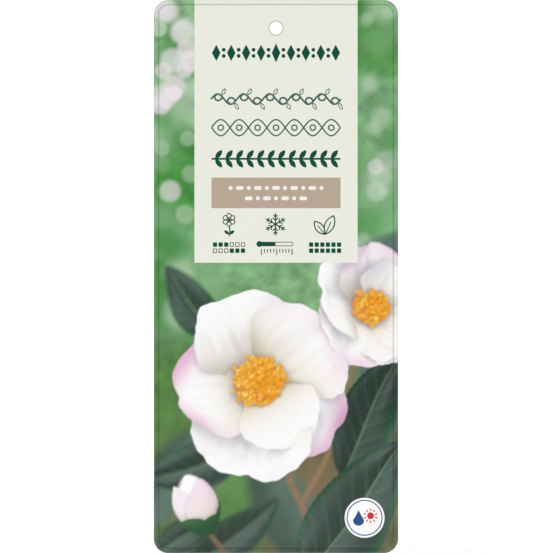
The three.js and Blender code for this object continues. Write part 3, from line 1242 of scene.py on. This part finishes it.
class LABEL_OT_ornaments(bpy.types.Operator):
    """Print the rows of plain ornament on the panel and the band"""
    bl_idname = "label.ornaments"
    bl_label = "Ornament rows"

    def execute(self, context):
        look = context.scene.panel_print
        bold, fine, white = bmesh.new(), bmesh.new(), bmesh.new()
        self.lozenge_row(bold)
        self.garland(bold)
        self.vine(fine, look.fine_stroke)
        self.chain(fine, look.fine_stroke * 0.8)
        self.band_beads(white)
        for name, bm, rgb, slot in (("bold_ornaments", bold, look.bold_colour, "panel"),
                                    ("fine_ornaments", fine, look.fine_colour, "panel"),
                                    ("band_beads", white, BEAD_INK, "band")):
            print_flat(bm, MARK_LIFT)
            keep_piece(name, bm, plain_ink(name + "_ink", rgb))
        self.ring_round_hole(look.ring_colour)
        return {"FINISHED"}

    def lozenge_row(self, bm):
        """Upright lozenges with pairs of dots between them, across the head of the panel."""
        y = down(LOZENGES_DOWN)
        pitch, wide, tall, tallest = 5.75 * MM, 3.3 * MM, 6.4 * MM, 7.4 * MM
        dot, beside, apart = 0.74 * MM, 2.87 * MM, 1.2 * MM
        for i in range(-4, 5):
            verts = disc(bm, 0.5, 0, 0, 4)
            bmesh.ops.scale(bm, vec=(wide, tall if i else tallest, 1), verts=verts)
            bmesh.ops.translate(bm, verts=verts, vec=(i * pitch, y, 0))
            if i < 4:
                for lift in (-apart, apart):
                    disc(bm, dot, i * pitch + beside, y + lift, 16)

    def garland(self, bm):
        """A bold row of paired leaves along a stem."""
        y = down(GARLAND_DOWN)
        stem, pitch, pairs = 49.5 * MM, 4.05 * MM, 12
        lay_low(bm, sheet(bm, stem, 0.75 * MM, 0, y))
        for i in range(pairs):
            for turn in (-38, -142):
                blade(bm, 4.3 * MM, 1.9 * MM, across(GARLAND_START) + i * pitch, y, turn)

    def vine(self, bm, stroke):
        """A thin wavy vine with a leaf and a curl in each half wave."""
        y = down(VINE_DOWN)
        length, waves, rise = 50 * MM, 5, 2.0 * MM
        lay_low(bm, ribbon(
            bm, lambda t: ((t - 0.5) * length, rise * math.sin(t * waves * 2 * math.pi)),
            stroke, 150, 0, y))
        for i in range(2 * waves):
            way = 1 if i % 2 == 0 else -1
            x = (i - waves + 0.5) * length / waves / 2
            self.curl(bm, x, y, way, stroke)
            leaf_outline = blade(bm, 3.1 * MM, 1.5 * MM, x + 1.6 * MM, y + way * 1.4 * MM,
                                 -90 + way * 62)
            hollow(bm, leaf_outline, stroke * 0.5)

    def curl(self, bm, x, y, way, stroke):
        """A thin curl that winds in towards its end."""
        def spiral(t):
            angle = t * 1.5 * math.pi
            radius = (1.75 - 1.0 * t) * MM
            return radius * math.cos(angle), way * (-radius * math.sin(angle) + 0.9 * MM)
        ribbon(bm, spiral, stroke, 20, x, y)

    def chain(self, bm, stroke):
        """Two thin waves that cross, with a ring in each link."""
        y = down(CHAIN_DOWN)
        length, links, rise = 49.6 * MM, 7, 3.1 * MM
        for way in (-1, 1):
            ribbon(bm, lambda t, way=way: (
                (t - 0.5) * length, way * rise * math.sin(t * links * math.pi)),
                stroke, 160, 0, y)
        for i in range(links):
            x = (i - (links - 1) / 2) * length / links
            hollow(bm, disc(bm, 1.3 * MM, x, y, 24), stroke)

    def ring_round_hole(self, rgb):
        """A thin pale printed ring round the punched hole."""
        bm = bmesh.new()
        hollow(bm, disc(bm, HOLE_RADIUS + RING_WIDTH, 0, 0, HOLE_SIDES), RING_WIDTH - RING_GAP)
        print_flat(bm, MARK_LIFT)
        keep_piece("hole_ring", bm, plain_ink("grey_green_ring_ink", rgb))

    def band_beads(self, bm):
        """Two rows of short white bars and beads."""
        pitch, bead, long, tall, corner = 3.5 * MM, 0.78 * MM, 3.0 * MM, 1.5 * MM, 0.72 * MM
        for row, (row_down, count) in enumerate(BEAD_ROWS):
            for i in range(count):
                x = (i - (count - 1) / 2) * pitch
                if i % 2 == row:
                    disc(bm, bead, x, down(row_down), 16)
                else:
                    rounded_sheet(bm, long, tall, corner, 5, x, down(row_down))


# The three care marks stand in columns, with a small scale under each. Places are millimetres
# across and down from the label's top left.
FLOWER_COLUMN, FROST_COLUMN, LEAF_COLUMN = 28.9, 46.8, 65.9
MARKS_DOWN = 86.4
MONTHS_DOWN = 95.4
THERMOMETER_DOWN = 95.6
MONTHS_IN_BLOOM = (0, 1, 2, 9, 10, 11)
MONTHS_IN_LEAF = range(12)


class LABEL_OT_care_marks(bpy.types.Operator):
    """Print the flower, frost and leaf marks with their scales"""
    bl_idname = "label.care_marks"
    bl_label = "Care marks"

    def execute(self, context):
        look = context.scene.panel_print
        bm = bmesh.new()
        for draw, column, row, *more in (
                (self.flower, FLOWER_COLUMN, MARKS_DOWN),
                (self.frost, FROST_COLUMN, MARKS_DOWN),
                (self.leaf_pair, LEAF_COLUMN, MARKS_DOWN),
                (self.months, FLOWER_COLUMN, MONTHS_DOWN, MONTHS_IN_BLOOM),
                (self.thermometer, FROST_COLUMN, THERMOMETER_DOWN),
                (self.months, LEAF_COLUMN, MONTHS_DOWN, MONTHS_IN_LEAF)):
            draw(bm, across(column), down(row), look.icon_stroke, *more)
        print_flat(bm, MARK_LIFT)
        keep_piece("care_marks", bm, plain_ink("care_mark_ink", look.bold_colour))
        return {"FINISHED"}

    def flower(self, bm, x, y, stroke):
        """A six-petalled flower on a stem with two leaves."""
        head, reach, round_petal = y + 1.7 * MM, 1.62 * MM, 1.02 * MM
        for i in range(6):
            angle = math.radians(60 * i + 30)
            hollow(bm, disc(bm, round_petal, x + reach * math.cos(angle),
                            head + reach * math.sin(angle), 18), stroke * 0.8)
        disc(bm, 0.6 * MM, x, head, 16)
        ribbon(bm, lambda t: (0.35 * MM * math.sin(t * math.pi), -4.2 * MM * t), stroke, 10,
               x, head - 2.2 * MM)
        for turn in (52, -52):
            blade(bm, 2.5 * MM, 1.2 * MM, x + 0.1 * MM, y - 3.9 * MM, turn)

    def frost(self, bm, x, y, stroke):
        """A six-armed frost star, with two pairs of barbs on each arm."""
        for turn in range(0, 360, 60):
            bar(bm, (0, 0), (0, 4.3 * MM), stroke, x, y, turn)
            for foot, size in ((1.5 * MM, 1.5 * MM), (2.8 * MM, 1.15 * MM)):
                for mirror in (False, True):
                    bar(bm, (0, foot), (0.72 * size, foot + 0.7 * size), stroke * 0.9, x, y,
                        turn, mirror)

    def leaf_pair(self, bm, x, y, stroke):
        """Two leaves that share a foot, with midribs."""
        foot = y - 4.1 * MM
        for turn, long, wide in ((38, 6.9 * MM, 3.5 * MM), (-24, 8.4 * MM, 4.0 * MM)):
            hollow(bm, blade(bm, long, wide, x, foot, turn, 16), stroke)
            bar(bm, (0, 0.3 * MM), (0, 0.3 * MM + long * 0.62), stroke * 0.8, x, foot, turn)

    def months(self, bm, x, y, stroke, filled):
        """Twelve small squares in two rows, with some of them filled in."""
        wide, tall, corner = 1.62 * MM, 1.72 * MM, 0.22 * MM
        for i in range(12):
            verts = rounded_sheet(bm, wide, tall, corner, 3, x + (i % 6 - 2.5) * 2.15 * MM,
                                  y + (0.5 - i // 6) * 2.35 * MM)
            if i not in filled:
                hollow(bm, verts, stroke * 0.6)

    def thermometer(self, bm, x, y, stroke):
        """A lying thermometer over a row of long and short ticks."""
        tube = y + 1.6 * MM
        disc(bm, 1.15 * MM, x - 6.2 * MM, tube, 24)
        rounded_sheet(bm, 6.4 * MM, 1.3 * MM, 0.6 * MM, 4, x - 3.1 * MM, tube)
        hollow(bm, rounded_sheet(bm, 13 * MM, 1.7 * MM, 0.8 * MM, 6, x + 0.4 * MM, tube),
               stroke * 0.6)
        for i in range(11):
            tall = (2.3 if i % 5 == 0 else 1.4) * MM
            sheet(bm, stroke * 0.8, tall, x + (i - 4.6) * 1.18 * MM, y - 0.3 * MM - tall / 2)


# The badge's middle, in millimetres across and down from the label's top left.
BADGE_ACROSS = 81.1
BADGE_DOWN = 199.4
BADGE_RIM = 0.42 * MM


class LABEL_OT_badge(bpy.types.Operator):
    """Print the round badge with its water drop and sun"""
    bl_idname = "label.badge"
    bl_label = "Badge"

    def execute(self, context):
        look = context.scene.badge_print
        x, y, radius = across(BADGE_ACROSS), down(BADGE_DOWN), look.radius
        ground, blue, red = bmesh.new(), bmesh.new(), bmesh.new()
        disc(ground, radius, x, y, 64)
        hollow(blue, disc(blue, radius * 0.9, x, y, 64), BADGE_RIM)
        self.drop(blue, x - radius * 0.3, y - radius * 0.12, radius * 0.62)
        self.sun(red, x + radius * 0.3, y + radius * 0.1, radius * 0.3)
        for name, bm, lift, finish, rgb in (
                ("badge_ground", ground, BADGE_LIFT, "badge_white_ink", look.ground_colour),
                ("badge_drop", blue, BADGE_MARK_LIFT, "badge_blue_ink", look.drop_colour),
                ("badge_sun", red, BADGE_MARK_LIFT, "badge_red_ink", look.sun_colour)):
            print_flat(bm, lift)
            keep_piece(name, bm, plain_ink(finish, rgb))
        return {"FINISHED"}

    def drop(self, bm, x, y, size):
        """A water drop with its point up."""
        verts = disc(bm, 1.0, 0, 0, 40)
        for vert in verts:
            pull = max(0, vert.co.y)
            vert.co.x *= (1 - pull) ** 0.6 if pull < 1 else 0
            vert.co.y += 0.9 * pull * pull
        bmesh.ops.scale(bm, vec=(size * 0.45,) * 3, verts=verts)
        place(bm, verts, x, y)

    def sun(self, bm, x, y, radius):
        """A sun with ten short rays."""
        disc(bm, radius * 0.58, x, y, 28)
        for turn in range(0, 360, 36):
            bar(bm, (0, radius * 0.78), (0, radius * 1.2), radius * 0.2, x, y, turn)


# Strength of the white surround, in front of the label and behind it, and how far either side of
# the label's plane it changes, as the sine of an angle.
WORLD_LIGHT = 1.17
BACK_LIGHT = 0.55
LIGHT_CHANGE = 0.3
# A dark card round the lens keeps the gloss film's reflection off the print. Its share of the
# surround's light, and the angles off the lens where it is darkest and where it ends.
CARD_LIGHT = 0.08
CARD_MIDDLE = math.radians(16)
CARD_EDGE = math.radians(34)
# Name, size in metres, watts and place. One box is high on the left, and one overhead whitens
# the board.
SOFT_BOXES = (
    ("soft_box", 1.2, 1.6, (-0.9, -1.1, 0.9)),
    ("top_box", 1.4, 6.0, (0, 0, 1.3)),
)
# The view is square, and takes in just the label's height.
SENSOR = 36.0
SHOWN_HEIGHT = 212.9 * MM
CAMERA_SIDESTEP = 0.19 * MM


class LABEL_OT_studio(bpy.types.Operator):
    """Make the pale floor, the soft lights and the camera"""
    bl_idname = "label.studio"
    bl_label = "Studio"

    def execute(self, context):
        look = context.scene.studio_setup
        # Print colours are shown as they are: no film curve between the light and the screen.
        context.scene.view_settings.view_transform = "Standard"
        self.floor(look)
        self.surround(context.scene)
        self.soft_boxes(context.scene)
        self.camera(context.scene, look)
        return {"FINISHED"}

    def floor(self, look):
        """Matt pale board under the label."""
        bm = bmesh.new()
        bmesh.ops.create_circle(bm, cap_ends=True, segments=96, radius=look.floor_radius)
        bmesh.ops.translate(bm, verts=bm.verts[:], vec=(0, 0, LABEL_BOTTOM - look.floor_drop))
        material, tree = new_material("matt_studio_board")
        close_shader(tree, {"Base Color": (*look.floor_colour, 1), "Roughness": 0.9})
        new_piece("floor", bm, material)

    def surround(self, scene):
        """A white surround, dimmer behind the label, with the dark card in it."""
        scene.world = bpy.data.worlds.new("soft_white_studio")
        scene.world.use_nodes = True
        tree = scene.world.node_tree
        tree.nodes.clear()
        way = add_node(tree, "TexCoord").outputs["Generated"]
        ahead = add_node(tree, "VectorMath", {0: way, 1: TOWARDS_READER}, operation="DOT_PRODUCT")
        front = add_node(
            tree, "MapRange",
            {"Value": ahead, "From Min": -LIGHT_CHANGE, "From Max": LIGHT_CHANGE,
             "To Min": BACK_LIGHT, "To Max": WORLD_LIGHT})
        card = add_node(
            tree, "MapRange",
            {"Value": ahead, "From Min": math.cos(CARD_EDGE), "From Max": math.cos(CARD_MIDDLE),
             "To Min": front, "To Max": WORLD_LIGHT * CARD_LIGHT})
        seen = add_node(tree, "LightPath").outputs["Is Camera Ray"]
        strength = add_node(
            tree, "Mix", {"Factor": seen, "A": card, "B": WORLD_LIGHT}, data_type="FLOAT")
        white = add_node(tree, "Background", {"Color": (1, 1, 1, 1), "Strength": strength})
        add_node(tree, "OutputWorld", {"Surface": white})

    def soft_boxes(self, scene):
        """Large square lamps that aim at the label."""
        for name, size, power, place_on in SOFT_BOXES:
            box = bpy.data.lights.new(name, "AREA")
            box.shape = "SQUARE"
            box.size = size
            box.energy = power
            holder = bpy.data.objects.new(name, box)
            holder.location = place_on
            aim = Vector((0, 0, LABEL_MIDDLE)) - holder.location
            holder.rotation_euler = aim.to_track_quat("-Z", "Y").to_euler()
            scene.collection.objects.link(holder)

    def camera(self, scene, look):
        """Straight on, from far enough away that the label's edges stay parallel."""
        data = bpy.data.cameras.new("camera")
        data.lens = look.lens
        data.sensor_width = SENSOR
        data.clip_start, data.clip_end = 0.01, 20
        camera = bpy.data.objects.new("camera", data)
        away = look.lens / SENSOR * SHOWN_HEIGHT
        camera.location = (CAMERA_SIDESTEP, FACE_FRONT - away, LABEL_MIDDLE)
        camera.rotation_euler = (math.radians(90), 0, 0)
        scene.collection.objects.link(camera)
        scene.camera = camera


class LABEL_PT_panel(bpy.types.Panel):
    """The label's pieces, in the order in which they are made"""
    bl_label = "Plant hang label"
    bl_idname = "LABEL_PT_panel"
    bl_space_type = "VIEW_3D"
    bl_region_type = "UI"
    bl_category = "Label"

    def draw(self, context):
        for name in GROUPS:
            group = getattr(context.scene, name)
            box = self.layout.box()
            for key in group.__annotations__:
                box.prop(group, key)
        for step in STEPS:
            self.layout.operator(step.bl_idname)


GROUPS = {
    "panel_print": PanelPrint,
    "picture_print": PicturePrint,
    "garden_print": GardenPrint,
    "film_finish": FilmFinish,
    "badge_print": BadgePrint,
    "studio_setup": StudioSetup,
}
STEPS = (LABEL_OT_studio, LABEL_OT_card, LABEL_OT_picture, LABEL_OT_panel,
         LABEL_OT_ornaments, LABEL_OT_care_marks, LABEL_OT_badge)


def register():
    for name, group in GROUPS.items():
        bpy.utils.register_class(group)
        setattr(bpy.types.Scene, name, PointerProperty(type=group))
    for cls in STEPS + (LABEL_PT_panel,):
        bpy.utils.register_class(cls)


def unregister():
    for cls in reversed(STEPS + (LABEL_PT_panel,)):
        bpy.utils.unregister_class(cls)
    for name, group in reversed(GROUPS.items()):
        delattr(bpy.types.Scene, name)
        bpy.utils.unregister_class(group)


def main():
    register()
    for step in STEPS:
        area, name = step.bl_idname.split(".")
        getattr(getattr(bpy.ops, area), name)()


if __name__ == "__main__":
    main()
